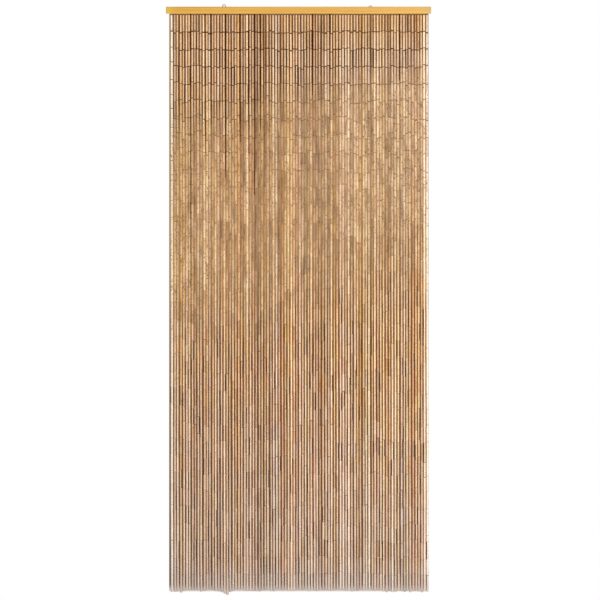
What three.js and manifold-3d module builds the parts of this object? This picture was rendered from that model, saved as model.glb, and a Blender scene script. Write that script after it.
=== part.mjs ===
// Bamboo door curtain: a varnished wooden batten that hangs by two eyelet plates, and 89 bamboo strands.
// Millimetres, +Z up. The front faces -Y and X runs along the batten.
// The origin is the middle of the batten's top edge.
import * as THREE from 'three';
import { mergeVertices } from 'three/addons/utils/BufferGeometryUtils.js';
import Module from 'manifold-3d';

const wasm = await Module();
wasm.setup();

// Driving dimensions
const SEAT_GAP = 0.3; // between two pieces that touch on the real curtain
const BATTEN_LENGTH = 900;
const BATTEN_HEIGHT = 24;
const BATTEN_DEPTH = 12;
const BATTEN_EASE = 1.2; // width of the eased edges

const ROOT_STRIP_LENGTH = 880;
const ROOT_STRIP_HEIGHT = 4.2;
const ROOT_STRIP_DEPTH = 5;

const STRAND_COUNT = 89;
const STRAND_PITCH = 9.845;
const ROW_OFFSET = 2.4; // the row of strands hangs a little to the right of the batten's middle
const LEAN = 2.5; // sideways way of a strand from its root to its lower end
const LEAN_WAVE = 1.1; // neighbouring strands lean alike, others more or less by this much
const LEAN_SPAN = 12; // strands
const CURTAIN_DROP = 1982; // mean depth of the lower ends below the top edge
const STRAND_WIDTH = 8.6;
const WIDTH_SCATTER = 0.3; // each of these scatters reaches this far to both sides
const ROW_SCATTER = 0.25;
const DEPTH_SCATTER = 0.8;
const STRAND_SIDES = 4;
const NECK_RADIUS = 1; // where the wire link runs between two tubes
const NECK_INSET = 0.3; // how far the first neck reaches up into the strip
const SHOULDER_DROP = 1.5; // from the strip down to the first tube's full width

const TUBE_PITCH = 58.5; // from joint to joint along a strand
const FIRST_JOINT_DEPTH = 85.8; // below the top edge
const JOINT_GAP = 3.5; // the open length between two tubes
const JOINT_DRIFT = 5.4; // how far one tube's length moves the next joint, to both sides
const DRIFT_KEPT = 0.97; // share of the drift so far that the next joint keeps
const NEIGHBOUR_SHARE = 0.45; // share of the drift that neighbouring strands have in common
const NEIGHBOUR_SPAN = 4; // strands
const NOTCHED_JOINTS = 4;

const END_SCATTER = 3;
const LOWER_EDGE = [ // how far the lower ends hang below their mean, with even slopes between these strands
  { strand: 0, extra: 5 },
  { strand: 3, extra: 4 },
  { strand: 6, extra: -4 },
  { strand: 10, extra: 1 },
  { strand: 13, extra: -6 },
  { strand: 16, extra: 2 },
  { strand: 19, extra: 12 },
  { strand: 21, extra: 0 },
  { strand: 23, extra: -3 },
  { strand: 31, extra: 0 },
  { strand: 46, extra: -3 },
  { strand: 48, extra: 2 },
  { strand: 58, extra: -4 },
  { strand: 62, extra: 2 },
  { strand: 66, extra: -4 },
  { strand: 74, extra: 2 },
  { strand: 84, extra: 3 },
  { strand: 88, extra: 3 },
];

const PLATE_WIDTH = 12;
const PLATE_THICKNESS = 1.5;
const PLATE_HOLE_SPACING = 14; // from the eyelet down to the screw
const EYELET_RADIUS = 3.2;
const SCREW_HOLE_RADIUS = 2;
const ARC_STEPS = 8; // flats on half a circle
const HANGERS = [
  { side: 'left', x: -253, rise: 8.8 },
  { side: 'right', x: 244, rise: 4.8 },
];

const SCREW_HEAD_RADIUS = 3.2;
const SCREW_HEAD_HEIGHT = 1.7;
const SCREW_HEAD_FLAT = 1.9; // radius of the flat on the head's top
const SCREW_SHANK_RADIUS = 1.4;
const SCREW_DEPTH = 8.5; // of the shank inside the batten
const PILOT_RADIUS = 1.75;
const PILOT_DEPTH = 9;
const SCREW_SIDES = 12;

const BATTEN_BACK = BATTEN_DEPTH / 2;
const STRIP_TOP = -BATTEN_HEIGHT - SEAT_GAP;
const STRIP_BOTTOM = STRIP_TOP - ROOT_STRIP_HEIGHT;

// Finishes
const varnishedWood = new THREE.MeshStandardMaterial({ color: 0xe9b35f, roughness: 0.42, metalness: 0 });
const bamboo = new THREE.MeshStandardMaterial({ color: 0xd2a878, roughness: 0.5, metalness: 0 });
const zincedSteel = new THREE.MeshStandardMaterial({ color: 0xc3c4c6, roughness: 0.35, metalness: 1 });

const SAME_POINT = 1e-4; // corners nearer than this are one corner

// Solids from closed geometries, and back
function solidOf(geometry) {
  const bare = geometry.clone();
  bare.deleteAttribute('normal');
  bare.deleteAttribute('uv');
  const merged = mergeVertices(bare, SAME_POINT);
  const corners = [];
  const index = merged.index.array;
  for (let i = 0; i < index.length; i += 3) {
    const [a, b, c] = [index[i], index[i + 1], index[i + 2]];
    if (a !== b && b !== c && c !== a) {
      corners.push(a, b, c);
    }
  }
  const vertProperties = new Float32Array(merged.attributes.position.array);
  const triVerts = new Uint32Array(corners);
  return new wasm.Manifold(new wasm.Mesh({ numProp: 3, vertProperties, triVerts }));
}

function geometryOf(solid) {
  const { vertProperties, triVerts } = solid.getMesh();
  const geometry = new THREE.BufferGeometry();
  geometry.setAttribute('position', new THREE.BufferAttribute(new Float32Array(vertProperties), 3));
  geometry.setIndex(new THREE.BufferAttribute(new Uint32Array(triVerts), 1));
  geometry.computeVertexNormals();
  return geometry;
}

function piece(name, geometry, material) {
  const mesh = new THREE.Mesh(geometry, material);
  mesh.name = name;
  return mesh;
}

// An even scatter from 0 to 1, always the same for the same strand and row: what is left of a steep wave
const STRAND_STEP = 12.9898;
const ROW_STEP = 78.233;
const WAVE_HEIGHT = 43758.5453;

function scatter(strand, row) {
  const wave = WAVE_HEIGHT * Math.sin(strand * STRAND_STEP + row * ROW_STEP);
  return wave - Math.floor(wave);
}

// The same, from -1 to 1
function swing(strand, row) {
  return 2 * scatter(strand, row) - 1;
}

// A slow swing that neighbouring strands share
function sharedSwing(strand, row, span) {
  const step = Math.floor(strand / span);
  const along = strand / span - step;
  return (1 - along) * swing(step, row) + along * swing(step + 1, row);
}

// Strands
const WIDTH_ROW = 101; // rows of the scatter that are kept for the strand as a whole
const PLACE_ROW = 102;
const DEPTH_ROW = 103;
const END_ROW = 104;
const LEAN_ROW = 105;

function strandWidth(strand) {
  return STRAND_WIDTH + WIDTH_SCATTER * swing(strand, WIDTH_ROW);
}

function strandPlace(strand) {
  const even = ROW_OFFSET + (strand - (STRAND_COUNT - 1) / 2) * STRAND_PITCH;
  return even + ROW_SCATTER * swing(strand, PLACE_ROW);
}

function strandLean(strand) {
  return LEAN + LEAN_WAVE * sharedSwing(strand, LEAN_ROW, LEAN_SPAN);
}

function lowerEdge(strand) {
  const next = Math.max(1, LOWER_EDGE.findIndex((row) => row.strand >= strand));
  const [left, right] = [LOWER_EDGE[next - 1], LOWER_EDGE[next]];
  const along = (strand - left.strand) / (right.strand - left.strand);
  return (1 - along) * left.extra + along * right.extra;
}

function strandDrop(strand) {
  return CURTAIN_DROP + lowerEdge(strand) + END_SCATTER * swing(strand, END_ROW);
}

// Depths of a strand's joints below the top edge: each tube is a little longer or shorter than the last
function jointDepths(strand, count) {
  const depths = [];
  let drift = 0;
  for (let joint = 0; joint < count; joint += 1) {
    const shared = NEIGHBOUR_SHARE * sharedSwing(strand, joint, NEIGHBOUR_SPAN);
    drift = DRIFT_KEPT * drift + JOINT_DRIFT * (shared + (1 - NEIGHBOUR_SHARE) * swing(strand, joint));
    depths.push(FIRST_JOINT_DEPTH + joint * TUBE_PITCH + drift);
  }
  return depths;
}

// A strand is turned on four sides, with an edge to the front, and leans a little from root to lower end
function strandGeometry(strand) {
  const radius = strandWidth(strand) / 2;
  const drop = strandDrop(strand);
  const profile = [
    new THREE.Vector2(0, STRIP_BOTTOM + NECK_INSET),
    new THREE.Vector2(NECK_RADIUS, STRIP_BOTTOM + NECK_INSET),
    new THREE.Vector2(radius, STRIP_BOTTOM - SHOULDER_DROP),
  ];
  for (const depth of jointDepths(strand, NOTCHED_JOINTS)) {
    profile.push(new THREE.Vector2(radius, -depth + JOINT_GAP / 2));
    profile.push(new THREE.Vector2(NECK_RADIUS, -depth));
    profile.push(new THREE.Vector2(radius, -depth - JOINT_GAP / 2));
  }
  profile.push(new THREE.Vector2(radius, -drop));
  profile.push(new THREE.Vector2(0, -drop));
  profile.reverse();
  const geometry = new THREE.LatheGeometry(profile, STRAND_SIDES);
  geometry.rotateX(Math.PI / 2);
  const sideways = new THREE.Matrix4().makeShear(0, 0, 0, 0, -strandLean(strand) / drop, 0);
  geometry.applyMatrix4(sideways);
  geometry.translate(strandPlace(strand), DEPTH_SCATTER * swing(strand, DEPTH_ROW), 0);
  return geometry;
}

function strands() {
  const strip = new THREE.BoxGeometry(ROOT_STRIP_LENGTH, ROOT_STRIP_DEPTH, ROOT_STRIP_HEIGHT);
  strip.translate(ROW_OFFSET, 0, STRIP_TOP - ROOT_STRIP_HEIGHT / 2);
  let solid = solidOf(strip);
  for (let strand = 0; strand < STRAND_COUNT; strand += 1) {
    solid = solid.add(solidOf(strandGeometry(strand)));
  }
  return piece('strands', geometryOf(solid), bamboo);
}

// Batten: a long bar with eased edges and a pilot hole in its back for each plate's screw
function batten() {
  const [halfDepth, half] = [BATTEN_DEPTH / 2, BATTEN_HEIGHT / 2];
  const section = new THREE.Shape([
    new THREE.Vector2(-halfDepth + BATTEN_EASE, -half),
    new THREE.Vector2(halfDepth - BATTEN_EASE, -half),
    new THREE.Vector2(halfDepth, -half + BATTEN_EASE),
    new THREE.Vector2(halfDepth, half - BATTEN_EASE),
    new THREE.Vector2(halfDepth - BATTEN_EASE, half),
    new THREE.Vector2(-halfDepth + BATTEN_EASE, half),
    new THREE.Vector2(-halfDepth, half - BATTEN_EASE),
    new THREE.Vector2(-halfDepth, -half + BATTEN_EASE),
  ]);
  const geometry = new THREE.ExtrudeGeometry(section, {
    depth: BATTEN_LENGTH - 2 * BATTEN_EASE,
    bevelEnabled: true,
    bevelThickness: BATTEN_EASE,
    bevelSize: BATTEN_EASE,
    bevelOffset: -BATTEN_EASE,
    bevelSegments: 1,
  });
  geometry.translate(0, 0, -BATTEN_LENGTH / 2 + BATTEN_EASE);
  // the section's own axes become Y and Z, and its length becomes X
  geometry.applyMatrix4(new THREE.Matrix4().makeBasis(
    new THREE.Vector3(0, 1, 0), new THREE.Vector3(0, 0, 1), new THREE.Vector3(1, 0, 0),
  ));
  geometry.translate(0, 0, -half);
  let solid = solidOf(geometry);
  for (const hanger of HANGERS) {
    const pilot = new THREE.CylinderGeometry(PILOT_RADIUS, PILOT_RADIUS, 2 * PILOT_DEPTH, SCREW_SIDES);
    pilot.translate(hanger.x, BATTEN_BACK, screwHeight(hanger));
    solid = solid.subtract(solidOf(pilot));
  }
  return piece('header', geometryOf(solid), varnishedWood);
}

// Hanger plates: a flat bar with round ends, an eyelet above and a screw hole below
function eyeletHeight(hanger) {
  return hanger.rise - PLATE_WIDTH / 2;
}

function screwHeight(hanger) {
  return eyeletHeight(hanger) - PLATE_HOLE_SPACING;
}

function roundHole(x, y, radius) {
  const hole = new THREE.Path();
  hole.absarc(x, y, radius, 0, 2 * Math.PI, true);
  return hole;
}

function hangerPlate(hanger) {
  const end = PLATE_WIDTH / 2;
  const outline = new THREE.Shape();
  outline.absarc(0, 0, end, 0, Math.PI, false);
  outline.absarc(0, -PLATE_HOLE_SPACING, end, Math.PI, 2 * Math.PI, false);
  outline.holes.push(roundHole(0, 0, EYELET_RADIUS));
  outline.holes.push(roundHole(0, -PLATE_HOLE_SPACING, SCREW_HOLE_RADIUS));
  const geometry = new THREE.ExtrudeGeometry(outline, {
    depth: PLATE_THICKNESS,
    bevelEnabled: false,
    curveSegments: ARC_STEPS,
  });
  geometry.rotateX(Math.PI / 2);
  const mesh = piece(`hanger_plate_${hanger.side}`, geometry, zincedSteel);
  mesh.position.set(hanger.x, BATTEN_BACK + SEAT_GAP + PLATE_THICKNESS, eyeletHeight(hanger));
  return mesh;
}

// Screws: a low round head behind the plate, and a shank through it into the batten
function hangerScrew(hanger) {
  const under = PLATE_THICKNESS + 2 * SEAT_GAP; // the head's underside, from the batten's back
  const geometry = new THREE.LatheGeometry([
    new THREE.Vector2(0, -SCREW_DEPTH),
    new THREE.Vector2(SCREW_SHANK_RADIUS, -SCREW_DEPTH + SCREW_SHANK_RADIUS),
    new THREE.Vector2(SCREW_SHANK_RADIUS, under),
    new THREE.Vector2(SCREW_HEAD_RADIUS, under),
    new THREE.Vector2(SCREW_HEAD_RADIUS, under + SCREW_HEAD_HEIGHT / 2),
    new THREE.Vector2(SCREW_HEAD_FLAT, under + SCREW_HEAD_HEIGHT),
    new THREE.Vector2(0, under + SCREW_HEAD_HEIGHT),
  ], SCREW_SIDES);
  const mesh = piece(`hanger_screw_${hanger.side}`, geometry, zincedSteel);
  mesh.position.set(hanger.x, BATTEN_BACK, screwHeight(hanger));
  return mesh;
}

const curtain = new THREE.Group();
curtain.add(batten());
for (const hanger of HANGERS) {
  curtain.add(hangerPlate(hanger));
  curtain.add(hangerScrew(hanger));
}
curtain.add(strands());

export default curtain;
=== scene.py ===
# %% [markdown]
# # A bamboo door curtain
#
# Eighty-nine strands hang side by side from a varnished batten. A strand is a string of 34 short bamboo
# tubes, and a bit of wire with an eye at each end links every tube to the next. About three thousand
# tubes are too many to place by hand, so this lesson lays all of them out with arrays of numbers, one row
# to a strand, and turns the arrays into a few joined meshes. The solids of the part are the fixed frame:
# the batten and its steel plates stay as they are and get their finish here, and the plain four-sided
# strands are replaced.

# %% The frame
from types import SimpleNamespace

import bpy
import numpy as np
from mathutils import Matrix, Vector


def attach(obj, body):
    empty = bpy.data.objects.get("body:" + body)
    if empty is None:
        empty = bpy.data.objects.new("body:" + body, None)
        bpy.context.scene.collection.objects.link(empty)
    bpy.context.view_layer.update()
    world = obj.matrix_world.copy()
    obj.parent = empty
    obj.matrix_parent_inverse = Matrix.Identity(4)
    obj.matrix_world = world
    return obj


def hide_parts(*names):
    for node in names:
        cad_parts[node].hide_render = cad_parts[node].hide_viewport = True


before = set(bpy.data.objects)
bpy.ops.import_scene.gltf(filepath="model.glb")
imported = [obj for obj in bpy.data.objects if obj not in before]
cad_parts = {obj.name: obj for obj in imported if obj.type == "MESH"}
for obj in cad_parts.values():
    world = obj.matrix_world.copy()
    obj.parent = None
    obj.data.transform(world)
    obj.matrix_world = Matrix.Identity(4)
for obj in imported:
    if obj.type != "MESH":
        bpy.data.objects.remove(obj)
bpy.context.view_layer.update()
MM = 0.001  # one millimetre in the scene's metres
print("nodes:", sorted(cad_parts))

# %% [markdown]
# ## The camera
#
# The curtain was photographed square-on from far away, so nothing in the picture grows or shrinks with
# its depth. A camera without perspective gives the same view. Its frame is 600 pixels wide, and the
# batten's 900 millimetres fill 265.1 of them, which sets the scale. The batten's top edge is the origin.

# %% Camera
PHOTO_SIDE = 600  # pixels
BATTEN_LENGTH = 900 * MM
BATTEN_PIXELS = 265.1
PIXEL = BATTEN_LENGTH / BATTEN_PIXELS
BATTEN_MIDDLE = 298.55  # where the origin lies in the photo, in pixels from its left and from its top
BATTEN_TOP = 6.7
STAND_OFF = 3.0  # from the camera to the curtain


def link(item):
    bpy.context.scene.collection.objects.link(item)
    return item


camera_data = bpy.data.cameras.new("camera")
camera_data.type = "ORTHO"
camera_data.ortho_scale = PHOTO_SIDE * PIXEL
camera = link(bpy.data.objects.new("camera", camera_data))
camera.location = (
    (PHOTO_SIDE / 2 - BATTEN_MIDDLE) * PIXEL,
    -STAND_OFF,
    (BATTEN_TOP - PHOTO_SIDE / 2) * PIXEL,
)
camera.rotation_euler = (np.pi / 2, 0, 0)
bpy.context.scene.camera = camera
print("the camera sees", round(camera_data.ortho_scale, 4), "m")

# %% [markdown]
# ## Shader maths as plain sums
#
# A material is a tree of nodes. Written out node by node it is hard to follow, so it is written as sums
# here. A Signal is one output of a node: adding, subtracting or multiplying signals adds the Math nodes
# that do it.

# %% Signals
class Signal:
    """One output of a node, which is used in sums as a number is."""

    def __init__(self, recipe, socket):
        self.recipe = recipe
        self.socket = socket

    def output(self, name):
        return Signal(self.recipe, self.socket.node.outputs[name])

    def maths(self, operation, first, second, clamp=False):
        settings = {"operation": operation, "use_clamp": clamp}
        return self.recipe.add("ShaderNodeMath", settings, {0: first, 1: second})

    def __add__(self, other):
        return self.maths("ADD", self, other)

    def __sub__(self, other):
        return self.maths("SUBTRACT", self, other)

    def __rsub__(self, other):
        return self.maths("SUBTRACT", other, self)

    def __mul__(self, other):
        return self.maths("MULTIPLY", self, other)

    __radd__ = __add__
    __rmul__ = __mul__

    def clamped(self):
        return self.maths("ADD", self, 0.0, clamp=True)

    def lowest(self, other):
        return self.maths("MINIMUM", self, other)

    def size(self):
        return self.maths("ABSOLUTE", self, 0.0)

    def between(self, low, high, kind="SMOOTHSTEP"):
        """0 below low, 1 above high, and a soft rise from one to the other."""
        sockets = {"Value": self, "From Min": low, "From Max": high}
        return self.recipe.add("ShaderNodeMapRange", {"interpolation_type": kind}, sockets)


# %% [markdown]
# A Recipe is a tree of nodes, and its `add` makes any node: first its settings, then the values or links
# of its sockets. The short methods after it are for the few nodes that this curtain's materials need
# again and again. A Finish is the recipe of one material.

# %% Recipes and finishes
class Recipe:
    """A tree of nodes, written step by step."""

    def __init__(self, tree):
        self.tree = tree

    def add(self, kind, settings=None, sockets=None):
        """A node of that kind: its settings, then its sockets, then its first output."""
        node = self.tree.nodes.new(kind)
        for name, value in (settings or {}).items():
            if name == "stops":
                self.set_stops(node.color_ramp, value)
            else:
                setattr(node, name, value)
        for name, value in (sockets or {}).items():
            self.feed(node.inputs[name], value)
        return Signal(self, next(socket for socket in node.outputs if socket.enabled))

    def set_stops(self, ramp, stops):
        while len(ramp.elements) < len(stops):
            ramp.elements.new(0.5)
        for element, (place, colour) in zip(ramp.elements, stops):
            element.position = place
            element.color = colour

    def feed(self, socket, value):
        if isinstance(value, Signal):
            self.tree.links.new(value.socket, socket)
        else:
            socket.default_value = value

    def ramp(self, share, stops):
        return self.add("ShaderNodeValToRGB", {"stops": stops}, {"Fac": share})

    def mix(self, share, first, second, blend="MIX"):
        """The first colour at share 0 and the second at share 1."""
        settings = {"data_type": "RGBA", "blend_type": blend}
        return self.add("ShaderNodeMix", settings, {0: share, 6: first, 7: second})

    def noise(self, where, scale=1.0, detail=2.0, roughness=0.5):
        sockets = {"Vector": where, "Scale": scale, "Detail": detail, "Roughness": roughness}
        return self.add("ShaderNodeTexNoise", {"noise_dimensions": "3D"}, sockets)

    def stretched(self, where, scale):
        """The same place with each axis stretched by its own scale, so that a noise gets a grain."""
        return self.add("ShaderNodeMapping", {"vector_type": "POINT"}, {"Vector": where, "Scale": scale})

    def moved(self, where, way):
        return self.add("ShaderNodeVectorMath", {"operation": "ADD"}, {0: where, 1: way})

    def place(self):
        """Where a point of the piece lies, in metres."""
        return self.add("ShaderNodeTexCoord").output("Object")

    def axis(self, where, name):
        return self.add("ShaderNodeSeparateXYZ", None, {0: where}).output(name)

    def attribute(self, name):
        return self.add("ShaderNodeAttribute", {"attribute_name": name}).output("Fac")

    def bump(self, height, depth):
        return self.add("ShaderNodeBump", None, {"Height": height, "Distance": depth})


class Finish(Recipe):
    """The recipe of one material, with the shader that every piece of the curtain uses."""

    def __init__(self, name):
        self.material = bpy.data.materials.new(name)
        self.material.use_nodes = True
        super().__init__(self.material.node_tree)

    def shade_with(self, sockets):
        shader = self.tree.nodes["Principled BSDF"]
        for name, value in sockets.items():
            self.feed(shader.inputs[name], value)
        print("finish:", self.material.name, "with", len(self.tree.nodes), "nodes")


def shade(red, green, blue):
    """A colour as a screen shows it, 0 to 255, turned by the screen's standard curve into linear values."""
    shown = np.array([red, green, blue]) / 255
    linear = np.where(shown <= 0.04045, shown / 12.92, ((shown + 0.055) / 1.055) ** 2.4)
    return (*linear.tolist(), 1.0)


# %% [markdown]
# At mid height the stripes all but vanish in a band that falls from the right to the left. It is made as
# a band where hands part the curtain: the skin is rubbed cleaner and matt there. The shade in it is
# painted flatter too: the painted shade behind the strands is lighter, and each tube's front is painted
# darker and its sides lighter. That is a guess. A change from dark to bright behind the real curtain would
# explain the band as well, or better. Two recipes need the same band, so it is one function of the place.

# %% The rubbed band, with its flatter painted shade
BAND_END, END_SLOPE = (-1.2, -0.7), 0.3  # heights of its soft ends at the middle, and how much they slant
BAND_TOP, TOP_SLOPE = (-0.42, -0.2), 0.25


def rubbed_and_shade_evened_band(recipe):
    """1 inside the band, with a soft change to 0 above and below it."""
    spot = recipe.place()
    across, up = recipe.axis(spot, "X"), recipe.axis(spot, "Z")
    above_its_end = (up - across * END_SLOPE).between(*BAND_END)
    below_its_top = 1 - (up - across * TOP_SLOPE).between(*BAND_TOP)
    return above_its_end * below_its_top


# %% [markdown]
# ## Floor, backdrop and light
#
# The picture shows the curtain in soft light from the front, cut out on white. So the room here is white
# where the camera looks straight at it, and a dim warm grey for everything else. The floor is a pale
# sheet that fades into the white before its edge shows. Its own grey is a little cool, since the light is
# warm.

# %% Floor
FLOOR_HEIGHT = -2.03
FLOOR_REACH = 7.0
FADE_FROM, FADE_TO = 1.2, 4.5  # metres from the curtain


def flat_sheet(name, corners, material):
    mesh = bpy.data.meshes.new(name)
    mesh.from_pydata(corners, [], [tuple(range(len(corners)))])
    mesh.materials.append(material)
    sheet = link(bpy.data.objects.new(name, mesh))
    return sheet


def rectangle(low, high, place, axes):
    """Four corners in the plane of two axes, at that place on the third one."""
    first, second = axes
    corners = np.full((4, 3), float(place))
    corners[:, first] = [low[0], high[0], high[0], low[0]]
    corners[:, second] = [low[1], low[1], high[1], high[1]]
    return corners.tolist()


pale_floor = Finish("pale floor")
from_middle = pale_floor.add("ShaderNodeVectorMath", {"operation": "LENGTH"}, {0: pale_floor.place()})
pale_floor.shade_with({
    "Base Color": shade(226, 232, 240),
    "Roughness": 0.9,
    "Alpha": 1 - from_middle.output("Value").between(FADE_FROM, FADE_TO),
})
floor_corners = rectangle((-FLOOR_REACH, -FLOOR_REACH), (FLOOR_REACH, FLOOR_REACH), 0, (0, 1))
floor = flat_sheet("floor", floor_corners, pale_floor.material)
floor.location.z = FLOOR_HEIGHT

# %% [markdown]
# The dark sheet right behind the strands is part of the studio too, and it is painted shade: it glows
# with the dark colour of the shade between the tubes, which is what shows through the gaps. It hardly
# reaches past the curtain's outline, where the cut left a faint grey fringe, and can be seen from its front
# only. It gives the curtain no light and no shade. It does show in the gloss on the sides of the tubes,
# which would mirror the bright room behind it otherwise and turn every gap grey. That it stays dark
# behind the lower part of the curtain is a guess too.

# %% Sheet of painted shade behind the strands
SHEET_BEHIND = 6 * MM  # from the strands' middle plane
SHEET_LOW = (-439.5 * MM, -1985 * MM)
SHEET_HIGH = (441.5 * MM, -10 * MM)
FRINGE_AT = (-435.5 * MM, 438.5 * MM)  # the sheet is fringe outside these two
FRINGE_BLUR = 1 * MM
# The gap colours below are painted shade.
GAP_SHADE_COLOURS = [  # what the gaps show, from the lower end up to the batten
    (0.0, shade(222, 214, 208)),
    (0.012, shade(96, 70, 56)),
    (0.45, shade(120, 82, 54)),
    (0.75, shade(96, 62, 36)),
    (0.93, shade(90, 62, 38)),
    (0.975, shade(122, 90, 58)),
    (1.0, shade(136, 104, 70)),
]
# A lighter painted shade for the gaps in the rubbed band.
RUBBED_GAP_SHADE = shade(172, 134, 94)
FRINGE_COLOURS = [
    (0.0, shade(222, 214, 208)),
    (0.012, shade(126, 112, 100)),
    (0.4, shade(150, 134, 114)),
    (1.0, shade(176, 158, 136)),
]

gap_shade_sheet = Finish("dark backdrop")
spot = gap_shade_sheet.place()
height = gap_shade_sheet.axis(spot, "Z").between(SHEET_LOW[1], SHEET_HIGH[1], "LINEAR")
sideways = gap_shade_sheet.axis(spot, "X")
inside = sideways.between(FRINGE_AT[0] - FRINGE_BLUR, FRINGE_AT[0])
inside = inside - sideways.between(FRINGE_AT[1], FRINGE_AT[1] + FRINGE_BLUR)
# The sheet glows with painted shade by height. Outside the outline it shows the grey fringe.
glow = gap_shade_sheet.mix(
    inside,
    gap_shade_sheet.ramp(height, FRINGE_COLOURS),
    gap_shade_sheet.mix(rubbed_and_shade_evened_band(gap_shade_sheet), gap_shade_sheet.ramp(height, GAP_SHADE_COLOURS), RUBBED_GAP_SHADE),
)


def leave_unlit(finish, glow):
    """The sheet glows with its own colour, a painted shade, whatever the light, and only from its front."""
    finish.shade_with({
        "Base Color": (0, 0, 0, 1),
        "Specular IOR Level": 0.0,
        "Emission Color": glow,
        "Emission Strength": 1.0,
        "Alpha": 1 - finish.add("ShaderNodeNewGeometry").output("Backfacing"),
    })


def hide_from_light(shade_sheet):
    """It gives no light and casts no shade, but is still seen, also in gloss."""
    for ray in ("diffuse", "transmission", "shadow"):
        setattr(shade_sheet, "visible_" + ray, False)


leave_unlit(gap_shade_sheet, glow)
sheet_corners = rectangle(SHEET_LOW, SHEET_HIGH, SHEET_BEHIND, (0, 2))
# The backdrop is this sheet of painted shade.
backdrop = flat_sheet("backdrop", sheet_corners, gap_shade_sheet.material)
hide_from_light(backdrop)

# %% [markdown]
# One wide lamp in front does most of the work. Two weak warm ones from the sides round the tubes off, and
# one behind keeps the back from going dark when the curtain is seen from there. The room adds a little
# warm light from everywhere.

# %% World and lamps
AMBIENT = 0.22  # of the white that the camera sees
ROOM_TINT = (1.0, 0.83, 0.66, 1.0)
MIDDLE = Vector((0, 0, -1.0))  # what every lamp faces
WARM, SOFT_WHITE = (1.0, 0.72, 0.5), (1.0, 0.93, 0.86)
SIDE_LAMP = {"width": 1.2, "height": 1.8, "colour": WARM}
BACK_LAMP = {"width": 2.0, "height": 1.6, "colour": SOFT_WHITE}
LAMPS = [
    {"name": "key", "at": (0.8, -3.3, -0.55), "watts": 117, "width": 1.1, "height": 1.9},
    {"name": "left fill", "at": (-2.9, -1.2, -0.8), "watts": 11, **SIDE_LAMP},
    {"name": "right fill", "at": (2.9, -1.2, -0.8), "watts": 14, **SIDE_LAMP},
    {"name": "back fill", "at": (0.8, 3.2, -0.3), "watts": 48, **BACK_LAMP},
]

world = bpy.data.worlds.new("studio")
world.use_nodes = True
bpy.context.scene.world = world
room = Recipe(world.node_tree)
seen = room.add("ShaderNodeLightPath").output("Is Camera Ray")
air = room.mix(seen, ROOM_TINT, (1, 1, 1, 1))
room.feed(world.node_tree.nodes["Background"].inputs["Color"], air)
room.feed(world.node_tree.nodes["Background"].inputs["Strength"], AMBIENT + seen * (1 - AMBIENT))
bpy.context.scene.view_settings.view_transform = "Standard"


def add_lamp(row):
    data = bpy.data.lights.new(row["name"], "AREA")
    data.shape, data.size, data.size_y = "RECTANGLE", row["width"], row["height"]
    data.energy = row["watts"]
    data.color = row.get("colour", (1, 1, 1))
    lamp = link(bpy.data.objects.new(row["name"], data))
    lamp.location = row["at"]
    lamp.rotation_euler = (MIDDLE - lamp.location).to_track_quat("-Z", "Y").to_euler()
    lamp.visible_camera = False


for row in LAMPS:
    add_lamp(row)
print("lamps:", [row["name"] for row in LAMPS])

# %% [markdown]
# ## Where every joint hangs
#
# No two strands are alike, and yet the curtain has to be the same one every time. The solids get their
# unevenness from a formula: the digits that are left over from a steep wave look random, but are always
# the same for the same strand and row. The same formula here puts each strand where its solid hangs, with
# its joints at the same heights. All strands are worked out at once, as arrays with one row to a strand.

# %% Scatter
STRANDS = 89
STRAND_STEP, ROW_STEP, WAVE_HEIGHT = 12.9898, 78.233, 43758.5453
strand = np.arange(STRANDS)


def swing(strand, row):
    """An even scatter from -1 to 1."""
    wave = WAVE_HEIGHT * np.sin(strand * STRAND_STEP + row * ROW_STEP)
    return 2 * (wave - np.floor(wave)) - 1


def shared_swing(strand, row, span):
    """A slow swing that neighbouring strands share."""
    step = np.floor(strand / span)
    along = strand / span - step
    return (1 - along) * swing(step, row) + along * swing(step + 1, row)


# %% [markdown]
# The strands share the batten's length at an even pitch, but for a little. Each has its own width, hangs
# a bit further forward or back, and leans slightly to the right on its way down. Their lower ends follow
# an uneven line, which is given at a few strands and runs straight in between.

# %% Strands
PITCH = 9.845 * MM
ROW_OFFSET = 2.4 * MM  # the row of strands hangs a little to the right of the batten's middle
MEAN_WIDTH, WIDTH_SWING = 8.6, 0.3  # in millimetres, like the next three lines
PLACE_SWING, DEPTH_SWING = 0.25, 0.8
MEAN_LEAN, LEAN_SWING = 2.5, 1.1
MEAN_DROP, DROP_SWING = 1982, 3
LEAN_SPAN = 12  # strands that lean much alike
WIDTH_ROW, PLACE_ROW, DEPTH_ROW, END_ROW, LEAN_ROW = range(101, 106)
LOWER_EDGE = {  # how many millimetres the lower ends hang below their mean, at these strands
    0: 5, 3: 4, 6: -4, 10: 1, 13: -6, 16: 2, 19: 12, 21: 0, 23: -3,
    31: 0, 46: -3, 48: 2, 58: -4, 62: 2, 66: -4, 74: 2, 84: 3, 88: 3,
}

width = (MEAN_WIDTH + WIDTH_SWING * swing(strand, WIDTH_ROW)) * MM
place = ROW_OFFSET + (strand - (STRANDS - 1) / 2) * PITCH + PLACE_SWING * MM * swing(strand, PLACE_ROW)
behind = DEPTH_SWING * MM * swing(strand, DEPTH_ROW)
lean = (MEAN_LEAN + LEAN_SWING * shared_swing(strand, LEAN_ROW, LEAN_SPAN)) * MM
edge = np.interp(strand, list(LOWER_EDGE), list(LOWER_EDGE.values()))
drop = (MEAN_DROP + edge + DROP_SWING * swing(strand, END_ROW)) * MM
print("lower ends from", (-drop.max()).round(4), "to", (-drop.min()).round(4))

# %% [markdown]
# A joint lies wherever the tubes above it happen to end, so the first rows of joints still run straight
# across the curtain, and further down they drift apart until no row is left. The upper links carry the
# most weight and are pulled open: the joints gape there, and close up further down, but for a few loose
# ones. The last tube ends where the strand ends.

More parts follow.
